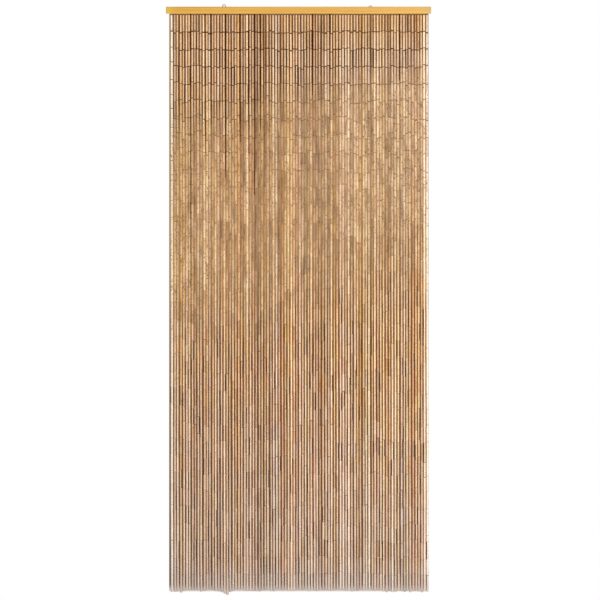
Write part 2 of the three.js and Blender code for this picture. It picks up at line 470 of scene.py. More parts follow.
# %% Joints
JOINTS = 33
FIRST_JOINT = 85.8 * MM
TUBE_PITCH = 58.5 * MM
JOINT_DRIFT, DRIFT_KEPT = 5.4 * MM, 0.97
NEIGHBOUR_SHARE, NEIGHBOUR_SPAN = 0.45, 4
SETTLED_JOINTS = 4  # these stay where the solids are notched, but for what no two tubes share
OWN_LENGTH = 2.6 * MM
STRAY = 4.0 * MM  # what the length of each tube further down adds to the drift
STRAY_LIMIT = 2.0  # times the stray
LAST_TUBE = 56 * MM
LAST_TUBE_SPREAD = (0.95, 1.05)
DICE_SEED = 41
dice = np.random.default_rng(DICE_SEED)

joint = np.arange(JOINTS)
depth = np.zeros((STRANDS, JOINTS))
drift = np.zeros(STRANDS)
for row in joint:
    shared = NEIGHBOUR_SHARE * shared_swing(strand, row, NEIGHBOUR_SPAN)
    drift = DRIFT_KEPT * drift + JOINT_DRIFT * (shared + (1 - NEIGHBOUR_SHARE) * swing(strand, row))
    depth[:, row] = FIRST_JOINT + row * TUBE_PITCH + drift
depth += OWN_LENGTH * dice.uniform(-1, 1, depth.shape)
below = np.clip(joint - SETTLED_JOINTS + 1, 0, None) / (JOINTS - SETTLED_JOINTS)
own_stray = STRAY * dice.normal(0, 1, depth.shape).clip(-STRAY_LIMIT, STRAY_LIMIT)
stray = np.cumsum(own_stray * (below > 0), axis=1)
depth += stray - stray[:, -1:] * below
missing = drop - LAST_TUBE * dice.uniform(*LAST_TUBE_SPREAD, STRANDS) - depth[:, -1]
depth += missing[:, None] * below ** 2
print("last joints from", (-depth[:, -1].max()).round(4), "to", (-depth[:, -1].min()).round(4))

# %% [markdown]
# Side by side, the strands are not quite even. Each one wanders a little, and most of all at mid height
# they cling together in twos and threes. Here and there two neighbours part and leave a wide dark gap.
# At the joints they keep clear of each other: where two would touch, both are pushed apart until they
# don't, as they would push each other on the real curtain. Between the joints, where tubes are bowed and
# knotted, some fifteen still run into a neighbour, by 0.7 mm at most, which is too little to show.

# %% Paths of the strands
ROOT_DEPTH = 26.0 * MM  # where the first link hooks into its staple
WANDER = 0.35 * MM
WANDER_TURN, WANDER_SHIFT = 7, 0.4  # radians to a metre of depth, and from a strand to the next
CLINGING = 0.5 * MM
CLINGING_LIMIT = 1.6
CLINGING_BY_DEPTH = {0.0: 0.7, 0.2: 0.9, 0.4: 1.3, 0.8: 1.3, 1.1: 1.0, 2.0: 0.8}
JOINT_SWAY, JOINT_SWAY_DEEP = 0.2 * MM, 0.45 * MM
LEAST_APART = 0.12 * MM
PUSH_ROUNDS = 60
PARTING_FADE = 0.15  # metres over which two strands part
PARTED = [  # after which strand, how many millimetres wider, between which depths, and dark down to where
    {"after": 6, "extra": 2.0, "top": 0.0, "end": 2.0, "dark": 0.95},
    {"after": 11, "extra": 2.6, "top": 0.0, "end": 0.55, "dark": 0.5},
    {"after": 10, "extra": 1.2, "top": 0.9, "end": 2.0},
    {"after": 13, "extra": 1.7, "top": 0.0, "end": 0.4, "dark": 0.4},
    {"after": 18, "extra": 2.6, "top": 0.0, "end": 0.65, "dark": 0.58},
    {"after": 23, "extra": 2.8, "top": 0.0, "end": 0.5, "dark": 0.46},
    {"after": 26, "extra": 2.0, "top": 0.0, "end": 0.55, "dark": 0.5},
    {"after": 28, "extra": 2.2, "top": 0.0, "end": 0.75, "dark": 0.64},
    {"after": 30, "extra": 1.8, "top": 0.0, "end": 0.6, "dark": 0.42},
    {"after": 48, "extra": 1.8, "top": 0.0, "end": 2.0, "dark": 0.3},
    {"after": 54, "extra": 1.6, "top": 0.0, "end": 0.5, "dark": 0.4},
    {"after": 78, "extra": 1.6, "top": 0.0, "end": 2.0, "dark": 0.25},
    {"after": 20, "extra": 1.8, "top": 1.3, "end": 2.0},
    {"after": 33, "extra": 1.4, "top": 1.3, "end": 2.0},
    {"after": 3, "extra": 1.3, "top": 1.4, "end": 2.0},
]

depths = np.column_stack([np.full(STRANDS, ROOT_DEPTH), depth, drop])
share = depths / drop[:, None]
across = place[:, None] + lean[:, None] * share
across += WANDER * np.sin(WANDER_TURN * depths + WANDER_SHIFT * strand[:, None]) * share
clinging = np.interp(depths, list(CLINGING_BY_DEPTH), list(CLINGING_BY_DEPTH.values()))
pull = dice.normal(0, 1, (STRANDS - 2, 1)).clip(-CLINGING_LIMIT, CLINGING_LIMIT)
across[1:-1] += CLINGING * pull * clinging[1:-1]
across += JOINT_SWAY * dice.uniform(-1, 1, depths.shape)
for part in PARTED:
    opening = np.clip((depths - part["top"] + PARTING_FADE) / PARTING_FADE, 0, 1)
    closing = np.clip((part["end"] - depths) / PARTING_FADE, 0, 1)
    side = np.where(strand == part["after"], -1, 0) + np.where(strand == part["after"] + 1, 1, 0)
    across += side[:, None] * (opening * closing) * part["extra"] / 2 * MM
needed = (width[1:] + width[:-1])[:, None] / 2 + LEAST_APART
for _ in range(PUSH_ROUNDS):
    push = np.clip(needed - np.diff(across, axis=0), 0, None) / 2
    across[:-1] -= push
    across[1:] += push
deep = behind[:, None] + JOINT_SWAY_DEEP * dice.uniform(-1, 1, depths.shape)
deep[:, 0] = behind
points = np.stack([across, deep, -depths], axis=2)
print("least gap", (np.diff(across, axis=0) - needed + LEAST_APART).min().round(6))

# %% [markdown]
# The widest gaps look darker than the narrow ones, whose colour is mixed with that of the tubes beside
# them. One sheet can't show both, so a strip of darker painted shade, which glows with its own colour,
# hangs behind each wide gap and follows it down.

# %% Strips of painted shade behind the widest gaps
STRIP_WIDTH = 5 * MM
STRIP_TOP = 0.015  # metres below the batten's top edge
STRIP_LEVELS = 12
BEFORE_SHEET = 0.05 * MM
STRIP_BEHIND = SHEET_BEHIND - BEFORE_SHEET

gap_shade_strip = Finish("dark strips")
# The strips glow with a painted shade that is darker than the sheet.
leave_unlit(gap_shade_strip, shade(64, 32, 10))
corners, faces = [], []
for part in (part for part in PARTED if "dark" in part):
    levels = np.linspace(STRIP_TOP, part["dark"], STRIP_LEVELS)
    pair = (part["after"], part["after"] + 1)
    middle = np.mean([np.interp(levels, depths[one], across[one]) for one in pair], axis=0)
    for level, x in zip(levels, middle):
        corners += [(x - STRIP_WIDTH / 2, STRIP_BEHIND, -level), (x + STRIP_WIDTH / 2, STRIP_BEHIND, -level)]
    first = len(corners) - 2 * len(levels)
    faces += [(row + 2, row + 3, row + 1, row) for row in range(first, len(corners) - 2, 2)]
mesh = bpy.data.meshes.new("dark strips")
mesh.from_pydata(corners, [], faces)
mesh.materials.append(gap_shade_strip.material)
strips = link(bpy.data.objects.new("dark strips", mesh))
hide_from_light(strips)
print("dark strips with", len(faces), "faces")

# %% [markdown]
# ## The tubes
#
# A tube is a cut length of thin bamboo cane: a round, slightly bowed and tapering pipe with a bore
# through it, its edges rounded a little by tumbling, and now and then a knot where a leaf grew. A
# cylinder for each tube would give three thousand objects without any of that. Instead, one outline runs
# around the wall of every tube, from the upper rim down the outside and back up through the bore, and is
# swept around its axis. Arrays do that for all tubes of a few strands at once.

# %% Tubes as arrays
TUBES = JOINTS + 1
FIRST_RIM = 27.9 * MM  # depth of the first tubes' upper rims
FIRST_GAP, LAST_GAP = 2.2 * MM, 0.12 * MM
GAP_FADE = 4.4  # joints
GAP_SPREAD = (0.2, 1.8)
LOOSE_SHARE, LOOSE_GAP = 0.04, 1.2 * MM
WALL = 1.65 * MM
ROUNDING = 0.35 * MM
KNOT_SHARE = 0.17
KNOT_RINGS = np.array([-2.6, -0.7, 0.6, 2.2]) * MM  # along the tube, from the middle of the knot
KNOT_SWELL = np.array([0.0, 0.32, 0.18, 0.0]) * MM
KNOT_RANGE = (0.2, 0.8)  # where along the tube its middle may be
SIDES = 12
THINNER = 0.6 * MM  # how much the thinnest canes lack in radius
TAPER, BOW, OVAL = 0.12 * MM, 0.22 * MM, 0.02  # the most of each, the last one as a share of the radius
BOW_SPREAD = 0.5  # most tubes are bowed by no more than this share of it

gap = LAST_GAP + (FIRST_GAP - LAST_GAP) * np.exp(-joint / GAP_FADE)
gap = gap * dice.uniform(*GAP_SPREAD, depth.shape)
gap += LOOSE_GAP * (dice.uniform(0, 1, depth.shape) < LOOSE_SHARE)
upper_trim = np.column_stack([np.full(STRANDS, FIRST_RIM - ROOT_DEPTH), gap / 2])
lower_trim = np.column_stack([gap / 2, np.zeros(STRANDS)])
way = points[:, 1:] - points[:, :-1]
length = np.linalg.norm(way, axis=2, keepdims=True)
upper = points[:, :-1] + way / length * upper_trim[:, :, None]
lower = points[:, 1:] - way / length * lower_trim[:, :, None]
shape = (STRANDS, TUBES)
tubes = SimpleNamespace(
    upper=upper,
    lower=lower,
    length=np.linalg.norm(lower - upper, axis=2),
    radius=width[:, None] / 2 - THINNER * dice.uniform(0, 1, shape) ** 2,
    taper=TAPER * dice.uniform(-1, 1, shape),
    bow=BOW * dice.normal(0, BOW_SPREAD, (*shape, 2)).clip(-1, 1),
    oval=OVAL * dice.uniform(0, 1, shape),
    turn=dice.uniform(0, np.pi, shape),
    knotted=dice.uniform(0, 1, shape) < KNOT_SHARE,
    knot_at=dice.uniform(*KNOT_RANGE, shape),
)
print("tubes:", tubes.length.size, "long", tubes.length.min().round(4), "to", tubes.length.max().round(4))

# %% [markdown]
# Bamboo from one cutting looks alike, so a strand keeps its shade for a long way, and each tube differs a
# little from the rest of its strand: lighter or darker, greener or redder, with more or less of a painted
# highlight where it faces the front, or more painted shade down its sides. A few strands stand out as the
# lightest ones. The two outermost are the palest of all and have no painted shade down their sides. About
# one tube in seven has a dark stain down its left or right side.

# %% Shade of each tube
LIGHT_TOPS = [0, 5, 11, 13, 16, 24, 35, 43, 87]
LIGHT_ENDS = [0, 41, 46, 49, 54, 58, 61, 68, 74, 83, 85, 88]
OUTERMOST = [0, STRANDS - 1]
LIGHTER = 0.2
FADE_SLOPE, FADE_START = 2, 0.7  # a light top, or a light end, is gone after about two thirds of the strand
LEFTMOST_TONE = 0.95
RIGHTMOST_TONE = (0.7, 1)  # at its top and at its lower end
OUTERMOST_WARMTH = -0.8
SPREADS = {"tone": (0.15, 0.06), "hue": (0.25, 0.16), "warmth": (0.25, 0.15), "sheen": (0.45, 0.12)}
SLOW_CHANGE = 0.18  # from a tube to the next, in shares of the strand's part of the spread
OWN_LIMIT, TUBE_LIMIT = 1.8, 2
HUE_LIMIT, SHEEN_RANGE, GROOVE_SHADE_RANGE = 0.6, (0.1, 2), (0.25, 1)
STAINED_SHARE = 0.15
STRONG_STAIN, FAINT_STAIN = (0.6, 1), (0, 0.25)


def strand_and_tube(by_strand, by_tube):
    """A value that is mostly the strand's, changes slowly along it, and is a bit different for each tube."""
    slow = np.cumsum(dice.normal(0, SLOW_CHANGE, shape), axis=1)
    slow -= slow.mean(axis=1, keepdims=True)
    own = dice.normal(0, 1, (STRANDS, 1)).clip(-OWN_LIMIT, OWN_LIMIT) + slow
    return by_strand * own + by_tube * dice.normal(0, 1, shape).clip(-TUBE_LIMIT, TUBE_LIMIT)


up = np.linspace(1, 0, TUBES)
light = np.zeros(shape)
light[LIGHT_TOPS] += np.clip(FADE_SLOPE * up - FADE_START, 0, 1)
light[LIGHT_ENDS] += np.clip(FADE_SLOPE * (1 - up) - FADE_START, 0, 1)
tubes.tone = (0.5 + strand_and_tube(*SPREADS["tone"]) + LIGHTER * light.clip(0, 1)).clip(0, 1)
tubes.hue = strand_and_tube(*SPREADS["hue"]).clip(-HUE_LIMIT, HUE_LIMIT)
tubes.warmth = strand_and_tube(*SPREADS["warmth"]).clip(-1, 1)
tubes.tone[0] = LEFTMOST_TONE
tubes.tone[-1] = np.linspace(*RIGHTMOST_TONE, TUBES)
tubes.sheen = (1 + strand_and_tube(*SPREADS["sheen"])).clip(*SHEEN_RANGE)
tubes.warmth[OUTERMOST] = OUTERMOST_WARMTH
# How much painted shade each tube gets down its sides.
tubes.dirt = dice.uniform(*GROOVE_SHADE_RANGE, shape)
tubes.dirt[OUTERMOST] = 0.0
tubes.seed = dice.uniform(0, 1, shape)
stained = dice.uniform(0, 1, shape) < STAINED_SHARE
tubes.stain = np.where(stained, dice.uniform(*STRONG_STAIN, shape), dice.uniform(*FAINT_STAIN, shape))
tubes.stain *= dice.choice([-1, 1], shape)  # to the left or to the right
SHADES = ("tone", "hue", "warmth", "sheen", "dirt", "stain", "seed")
print("mean tone:", tubes.tone.mean().round(3))

# %% [markdown]
# The outline of a tube's wall becomes a stack of rings: the inner and the outer edge of the upper rim,
# the rounded edge, the skin, and the same at the lower end. The last ring is joined back to the first one
# through the bore, so the wall is closed. A knot takes four rings of the skin and a plain tube two, so
# the knotted tubes and the plain ones are swept apart from each other.

# %% Rings and faces
V_RIM, V_EDGE, V_BORE = 0.05, 0.03, 0.08  # shares of a tube's piece of the map


def chosen(table, keep):
    """The same table with only those rows or tubes in it."""
    return SimpleNamespace(**{name: values[keep] for name, values in vars(table).items()})


def ring_places(some, knotted):
    """Each ring's place along its tube, the tube's radius there and its share of a knot."""
    count = len(some.length)
    edge = ROUNDING / some.length
    if knotted:
        middle = some.knot_at[:, None] + KNOT_RINGS / some.length[:, None]
        swell = np.broadcast_to(KNOT_SWELL, middle.shape)
    else:
        middle = np.broadcast_to([1 / 3, 2 / 3], (count, 2))
        swell = np.zeros(middle.shape)
    zero, one = np.zeros(count), np.ones(count)
    along = np.column_stack([zero, zero, edge, middle, one - edge, one, one])
    body = some.radius[:, None] + some.taper[:, None] * (along - 0.5)
    body[:, 3:-3] += swell
    body[:, [1, -2]] -= ROUNDING
    body[:, [0, -1]] -= WALL
    knot = np.zeros(along.shape)
    knot[:, 3:-3] = swell / KNOT_SWELL.max()
    return along, body, knot


def sweep(some, knotted):
    """Corners, faces and map of all these tubes."""
    along, body, knot = ring_places(some, knotted)
    count, rings = along.shape
    angle = 2 * np.pi * np.arange(SIDES) / SIDES
    axis = some.upper[:, None] + (some.lower - some.upper)[:, None] * along[:, :, None]
    axis[:, :, :2] += some.bow[:, None] * (4 * along * (1 - along))[:, :, None]
    stretch = 1 + some.oval[:, None] * np.cos(2 * (angle - some.turn[:, None]))
    reach = body[:, :, None] * stretch[:, None]
    corners = np.repeat(axis[:, :, None], SIDES, axis=2)
    corners[..., 0] += reach * np.cos(angle)
    corners[..., 1] += reach * np.sin(angle)

    ring, side = np.meshgrid(np.arange(rings), np.arange(SIDES), indexing="ij")
    next_ring, next_side = (ring + 1) % rings, (side + 1) % SIDES
    quad = np.stack([ring * SIDES + side, next_ring * SIDES + side,
                     next_ring * SIDES + next_side, ring * SIDES + next_side], axis=2).reshape(-1, 4)
    first = np.arange(count)[:, None, None] * rings * SIDES
    inside = np.isin(np.repeat(np.arange(rings), SIDES), [0, rings - 2, rings - 1])

    skin = V_RIM + V_EDGE + (1 - 2 * V_RIM - 2 * V_EDGE - V_BORE) * along[:, 2:-2]
    fixed = np.ones((count, 1))
    v = np.hstack([0 * fixed, V_RIM * fixed, skin, (1 - V_BORE - V_RIM) * fixed,
                   (1 - V_BORE) * fixed, fixed])
    v_quad = np.stack([v[:, ring], v[:, ring + 1], v[:, ring + 1], v[:, ring]], axis=3)
    u_quad = np.stack([side, side, side + 1, side + 1], axis=2) / SIDES
    values = {"along": along, "knot": knot}
    values |= {name: vars(some)[name][:, None] for name in SHADES}
    return SimpleNamespace(
        corners=corners.reshape(-1, 3),
        faces=(first + quad).reshape(-1, 4),
        inside=np.tile(inside, count),
        u=np.broadcast_to(u_quad, v_quad.shape).reshape(count, -1, 4),
        v=v_quad.reshape(count, -1, 4),
        values={name: np.repeat(np.broadcast_to(value, along.shape).ravel(), SIDES)
                for name, value in values.items()},
    )


# %% [markdown]
# The finishes are painted in space and need no map. A flat map is still worth having for anyone who bakes
# them into images. Blender's own unwrapping leaves thousands of narrow islands, while a tube that is cut
# open and rolled flat is a plain rectangle. The map gives every tube one rectangle of a grid.

# %% Maps and meshes
MAP_NAME = "OFBake"
MAP_SIZE = 1024  # pixels
MAP_MARGIN = 1.5 / MAP_SIZE


def grid_map(mesh, u, v, columns):
    """Lays each item's own u and v, from 0 to 1, into one cell of a grid."""
    rows = -(-sum(len(part) for part in u) // columns)
    cell = np.array([1 / columns, 1 / rows])
    spread, start = [], 0
    for part_u, part_v in zip(u, v):
        item = start + np.arange(len(part_u))
        corner = np.stack([item % columns, item // columns], axis=1) * cell + MAP_MARGIN
        inner = cell - 2 * MAP_MARGIN
        flat = np.stack([part_u, part_v], axis=-1) * inner + corner[:, None, None]
        spread.append(flat.reshape(-1, 2))
        start += len(part_u)
    layer = mesh.uv_layers.new(name=MAP_NAME)
    layer.data.foreach_set("uv", np.concatenate(spread).astype(np.float32).ravel())


def add_piece(name, corners, faces, materials, replaced):
    mesh = bpy.data.meshes.new(name)
    mesh.from_pydata(corners, [], faces)
    for material in materials:
        mesh.materials.append(material)
    piece = link(bpy.data.objects.new(name, mesh))
    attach(piece, "root")
    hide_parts(replaced)
    return piece


def smooth_but_for_edges(mesh, degrees):
    mesh.shade_smooth()
    mesh.set_sharp_from_angle(angle=np.radians(degrees))


# %% [markdown]
# ## Bamboo
#
# Bamboo fades, and a curtain does so unevenly. This one is lighter near its top and has kept more colour
# right below the batten. Its left side is painted dimmer, a painted shade, and its upper right is painted
# paler and greyer, a painted light. Its lower ends are greyer and worn pale. Each of these zones has soft
# borders, and a border is written as two places: where the change begins and where it is complete.
# Painting by place, and not tube by tube, lets a zone run on across all the strands.

# %% Where the curtain has faded, and where light and shade are painted
TOPMOST = (-0.4, -0.15)  # these borders are heights
FRESH = (-0.12, -0.04)
LOWER_HALF = (-1.3, -0.7)
WEATHERED = (-1.85, -1.15)
PALE_ENDS = (-1.995, -1.86)
BROWN_RIMS = (-0.9, -0.4)
SHADED_LEFT_TOP = (-0.4, -0.2)
LIT_BOTTOM = (-1.15, -0.5)
LIT_TOP = (-0.2, -0.05)
SHADED_LEFT = (-0.42, -0.2)  # and these are places from left to right
LIT_RIGHT = (-0.2, 0.35)
TOPMOST_RIGHT = (0.0, 0.2)
print("the lowest", round(PALE_ENDS[1] - PALE_ENDS[0], 3), "m are worn pale")

# %% [markdown]
# The skin of the cane is a tan satin, with fine fibres running along it, blotches, small dark spots, a
# dark line at a knot and brown rims where it was cut. Its shade comes from each tube's own values. The
# part that faces the front is painted paler, a painted highlight, and the sides of the tubes are painted
# darker, a painted shade where they face their neighbours. A stain is a matt dark streak down one side.
# In the rubbed band the skin is cleaner and matt, and its front is painted darker and its sides lighter.
# Most of it is laid on in turn, as a painter would: each mix lays one more colour over the tint so far.

# %% Skin of the tubes
SKIN = [
    (0.0, shade(114, 76, 42)),
    (0.3, shade(162, 119, 77)),
    (0.55, shade(198, 156, 111)),
    (0.8, shade(222, 187, 143)),
    (1.0, shade(242, 217, 180)),
]

FIBRES, BLOTCHES = (1500, 1500, 30), (160, 160, 45)  # how fine each pattern is, across and along the tube
SMUDGES, SPOTS = (70, 70, 16), (210, 210, 130)
SIDE_TURN, CREST_TURN = (0.4, 0.95), (0.05, 0.55)  # how far the skin turns from 0, the front, to 1, a side
STAIN_TURN, STAIN_END = (0.2, 0.5), (0.8, 0.95)  # a stain lies between these two
SKIN_RELIEF = 0.07 * MM

skin = Finish("bamboo skin")
seed = skin.attribute("seed")
along = skin.attribute("along")
knot = skin.attribute("knot")
own_place = skin.moved(skin.place(), skin.add("ShaderNodeCombineXYZ", None, {"X": seed * 3, "Z": seed * 7}))
fibres = skin.noise(skin.stretched(own_place, FIBRES), detail=3, roughness=0.6)
blotches = skin.noise(skin.stretched(own_place, BLOTCHES), detail=2)
specks = skin.noise(own_place, scale=700, detail=1)
height = skin.axis(skin.place(), "Z")
rubbed_and_shade_evened = rubbed_and_shade_evened_band(skin)
weathered = 1 - height.between(*WEATHERED)
fresh = height.between(*FRESH)
lengthwise = skin.axis(skin.place(), "X")
topmost = height.between(*TOPMOST) * (1 - lengthwise.between(*TOPMOST_RIGHT) * 0.6)
lower_half = 1 - height.between(*LOWER_HALF)
# The left side below the top is painted dimmer as painted shade. The upper right is painted paler and greyer
# as painted light.
shaded_left = (1 - lengthwise.between(*SHADED_LEFT)) * (1 - height.between(*SHADED_LEFT_TOP))
lit_upper_right = lengthwise.between(*LIT_RIGHT) * height.between(*LIT_BOTTOM)
lit_upper_right = lit_upper_right * (1 - height.between(*LIT_TOP))
smudges = skin.noise(skin.stretched(skin.place(), SMUDGES), detail=3, roughness=0.6)
spots = skin.noise(skin.stretched(own_place, SPOTS), detail=1).between(0.61, 0.68)

tone = 0.5 + (skin.attribute("tone") - 0.5) * (1 + rubbed_and_shade_evened * 0.25 - weathered * 0.2)
tone = tone + (fibres - 0.5) * 0.2 + (blotches - 0.5) * 0.3 + (smudges - 0.5) * (0.3 + rubbed_and_shade_evened * 1.0)
warmth = skin.attribute("warmth") * (0.32 + lower_half * 0.14)
own_hue = skin.attribute("hue") * (0.011 + rubbed_and_shade_evened * 0.01 + lower_half * 0.022)
# Its Value and Saturation also lay the painted shade at the left and the painted light at the upper right.
tint = skin.add("ShaderNodeHueSaturation", None, {
    "Hue": 0.505 + rubbed_and_shade_evened * 0.003 - lower_half * 0.003 - topmost * 0.002 - weathered * 0.002 + own_hue,
    "Saturation": 1.0 + warmth - weathered * 0.3 + fresh * 0.06 - topmost * 0.06 - lit_upper_right * 0.2,
    "Value": 0.98 - shaded_left * 0.07 + weathered * 0.06 + rubbed_and_shade_evened * 0.03 + lit_upper_right * 0.05 + topmost * 0.12,
    "Color": skin.ramp(tone.clamped(), SKIN),
})
facing = skin.axis(skin.add("ShaderNodeNewGeometry").output("Normal"), "X")
sides = facing.size().between(*SIDE_TURN)
# The front of each tube is painted paler, a painted highlight, more on some strands and in the lower half.
crest = 1 - facing.size().between(*CREST_TURN)
painted_highlight = skin.attribute("sheen") * (0.16 + lower_half * 0.14) * (1 - rubbed_and_shade_evened * 0.5)
tint = skin.mix(crest * painted_highlight, tint, shade(255, 240, 214))
# Painted shade down the sides of each tube, where it faces its neighbours, stronger on some tubes than on
# others.
groove_shade_colour = skin.mix(weathered, shade(150, 98, 56), shade(172, 132, 104))
tint = skin.mix(sides * skin.attribute("dirt") * (1 - rubbed_and_shade_evened * 0.8), tint, groove_shade_colour, "MULTIPLY")
# In the rubbed band each tube's front is painted darker and its sides lighter: painted shade and painted
# light that even out the shade across the tube.
tint = skin.mix((1 - sides) * rubbed_and_shade_evened * 0.5, tint, shade(226, 222, 216), "MULTIPLY")
tint = skin.mix(sides * rubbed_and_shade_evened * 0.5, tint, shade(226, 190, 148))
stain = (facing * skin.attribute("stain")).between(*STAIN_TURN) * (1 - rubbed_and_shade_evened * 0.8)
stain = stain * (1 - facing.size().between(*STAIN_END) * 0.65)
tint = skin.mix(stain, tint, shade(44, 14, 4))
rims = 1 - along.lowest(1 - along).between(0.004, 0.03)
brown_rims = rims * (0.15 + height.between(*BROWN_RIMS) * 0.55)
tint = skin.mix(brown_rims, tint, shade(130, 84, 50), "MULTIPLY")
tint = skin.mix(knot.between(0.25, 1.0) * 0.5, tint, shade(150, 104, 62), "MULTIPLY")
tint = skin.mix(specks.between(0.68, 0.76) * 0.25, tint, shade(96, 64, 38))
tint = skin.mix(spots * (0.15 + rubbed_and_shade_evened * 0.6), tint, shade(100, 62, 34))
tint = skin.mix((1 - height.between(*PALE_ENDS)) * 0.5, tint, shade(192, 188, 186))
skin.shade_with({
    "Base Color": tint,
    "Roughness": 0.2 + fibres * 0.08 + rims * 0.2 + rubbed_and_shade_evened * 0.3 + stain * 0.5,
    "Specular IOR Level": 0.3,
    "Normal": skin.bump(fibres + blotches * 0.6, SKIN_RELIEF),
})

# %% [markdown]
# The cut ends and the bore show the wood inside, dotted with the ends of its fibres, and get darker
# further in, where little light falls and dust gathers.

# %% Cut ends and bore
CUT_RELIEF = 0.1 * MM

cut = Finish("cut bamboo")
along = cut.attribute("along")
place_in = cut.place()
bundles = cut.noise(place_in, scale=2600, detail=1)
inward = along.lowest(1 - along).between(0.0, 0.1)
wood = cut.mix(bundles.between(0.45, 0.62) * 0.7, shade(206, 170, 122), shade(142, 100, 60))
wood = cut.mix(inward * 0.85, wood, shade(70, 46, 28))
cut.shade_with({
    "Base Color": wood,
    "Roughness": 0.72 + bundles * 0.1,
    "Normal": cut.bump(bundles, CUT_RELIEF),
})

# %% [markdown]
# Three thousand loose tubes would be slow to work with, and one mesh of them all is clumsy. Five strands
# make a handy piece. Each tube's values go with its corners as named attributes, which the skin's recipe
# reads.

# %% Strands in groups
GROUP = 5  # strands to a piece
MAP_COLUMNS = 17
TUBE_CREASE = 38  # degrees, and sharper edges stay sharp


def tube_group(number, first):
    some = chosen(tubes, slice(first, first + GROUP))
    parts = [sweep(chosen(some, ~some.knotted), False), sweep(chosen(some, some.knotted), True)]
    corners = np.concatenate([part.corners for part in parts])
    faces = np.concatenate([parts[0].faces, parts[1].faces + len(parts[0].corners)])
    title = f"bamboo_strands_{number:02d}"
    piece = add_piece(title, corners, faces, [skin.material, cut.material], "strands")
    mesh = piece.data
    inside = np.concatenate([part.inside for part in parts])
    mesh.polygons.foreach_set("material_index", inside.astype(int))
    for name in parts[0].values:
        values = np.concatenate([part.values[name] for part in parts]).astype(np.float32)
        mesh.attributes.new(name, "FLOAT", "POINT").data.foreach_set("value", values)
    grid_map(mesh, [part.u for part in parts], [part.v for part in parts], MAP_COLUMNS)
    smooth_but_for_edges(mesh, TUBE_CREASE)
    return len(faces)


quads = [tube_group(number + 1, first) for number, first in enumerate(range(0, STRANDS, GROUP))]
print("tube pieces:", len(quads), "with", 2 * sum(quads), "triangles in all")

# %% [markdown]
# ## Wire links
#
# At a joint two wire eyes hang in each other, one out of the tube above and one out of the tube below,
# turned a quarter turn against it. Only the two bends show, so each eye is a narrow U of thin wire whose
# legs run up into the bore. A staple in the batten's underside is the same U with shorter legs, and the
# bent end that holds the last tube is one more U. One U is made on its own, and the arrays set it at every
# joint.

# %% One U of wire
WIRE_RADIUS = 0.45 * MM
EYE_RADIUS = 1.3 * MM
LEG = 5.5 * MM
STAPLE_LEG = 2.6 * MM
BEND_ANGLES = np.radians([180, 240, 300, 360])
BEND_DROP = EYE_RADIUS * np.sin(np.radians(60))  # from the legs' ends down to the bend
WIRE_CORNERS = np.radians([45, 135, 225, 315])
WIRE_SIDES = len(WIRE_CORNERS)
STRETCHES = len(BEND_ANGLES) + 1  # straight stretches, with the two legs


def wire_u(leg):
    """Corners of the U's square wire, ring after ring, with the U open at the top."""
    bend = [(EYE_RADIUS * np.cos(a), EYE_RADIUS * np.sin(a)) for a in BEND_ANGLES]
    path = np.array([(bend[0][0], leg), *bend, (bend[-1][0], leg)])
    steps = np.diff(path, axis=0)
    steps /= np.linalg.norm(steps, axis=1, keepdims=True)
    before, after = np.vstack([steps[:1], steps]), np.vstack([steps, steps[-1:]])
    middle = before + after
    middle /= np.linalg.norm(middle, axis=1, keepdims=True)
    widen = 1 / np.sum(middle * before, axis=1)
    normal = np.stack([-middle[:, 1], middle[:, 0]], axis=1) * widen[:, None]
    corners = np.zeros((len(path), WIRE_SIDES, 3))
    corners[:, :, [0, 2]] = path[:, None] + WIRE_RADIUS * np.cos(WIRE_CORNERS)[:, None] * normal[:, None]
    corners[:, :, 1] = WIRE_RADIUS * np.sin(WIRE_CORNERS)
    return corners.reshape(-1, 3)


def wire_faces():
    ring, side = np.meshgrid(np.arange(STRETCHES), np.arange(WIRE_SIDES), indexing="ij")
    after = (side + 1) % WIRE_SIDES
    start = ring * WIRE_SIDES
    end = start + WIRE_SIDES
    quads = np.stack([start + side, start + after, end + after, end + side], axis=2)
    last = WIRE_SIDES * STRETCHES
    caps = [[3, 2, 1, 0], [last, last + 1, last + 2, last + 3]]
    return np.vstack([quads.reshape(-1, 4), caps])


def wire_map():
    """Each stretch of the wire gets a strip, side by side, and the two ends lie above them."""
    rows = STRETCHES + 1
    ring, side = np.meshgrid(np.arange(STRETCHES), np.arange(WIRE_SIDES), indexing="ij")
    u = np.stack([side, side + 1, side + 1, side], axis=2).reshape(-1, 4) / WIRE_SIDES
    v = np.stack([ring, ring, ring + 1, ring + 1], axis=2).reshape(-1, 4) / rows
    end_u = np.array([[0, 0.5, 0.5, 0], [0.5, 1, 1, 0.5]])
    end_v = np.array([[STRETCHES, STRETCHES, rows, rows]] * 2) / rows
    return np.vstack([u, end_u]), np.vstack([v, end_v])


print("a U of wire has", len(wire_faces()), "faces")

# %% [markdown]
# The wire is galvanised iron that has gone dull and brown all over and rusts in spots. A slow noise mixes
# the two browns, and a finer one lays the rust over them, which is less metallic.

# %% Wire finish
RUST_RELIEF = 0.05 * MM

wire = Finish("link wire")
dull = wire.noise(wire.place(), scale=90, detail=3)
rust = wire.noise(wire.place(), scale=350, detail=2).between(0.55, 0.75)
bright = wire.mix(dull, shade(110, 80, 50), shade(74, 46, 26))
wire.shade_with({
    "Base Color": wire.mix(rust * 0.8, bright, shade(96, 58, 34)),
    "Metallic": 0.8 - rust * 0.6,
    "Roughness": 0.42 + dull * 0.25,
    "Normal": wire.bump(rust, RUST_RELIEF),
})

# %% [markdown]
# Every joint takes two of these. At the top of a strand a staple and an eye hang in each other, and at
# its lower end one U closes the last tube. The eyes at the joints are twisted a little at random. All the
# wire of a third of the strands is one piece.

# %% All links
WIRE_GROUPS = 3
WIRE_TWIST = 0.5  # radians
WIRE_CREASE = 62  # degrees


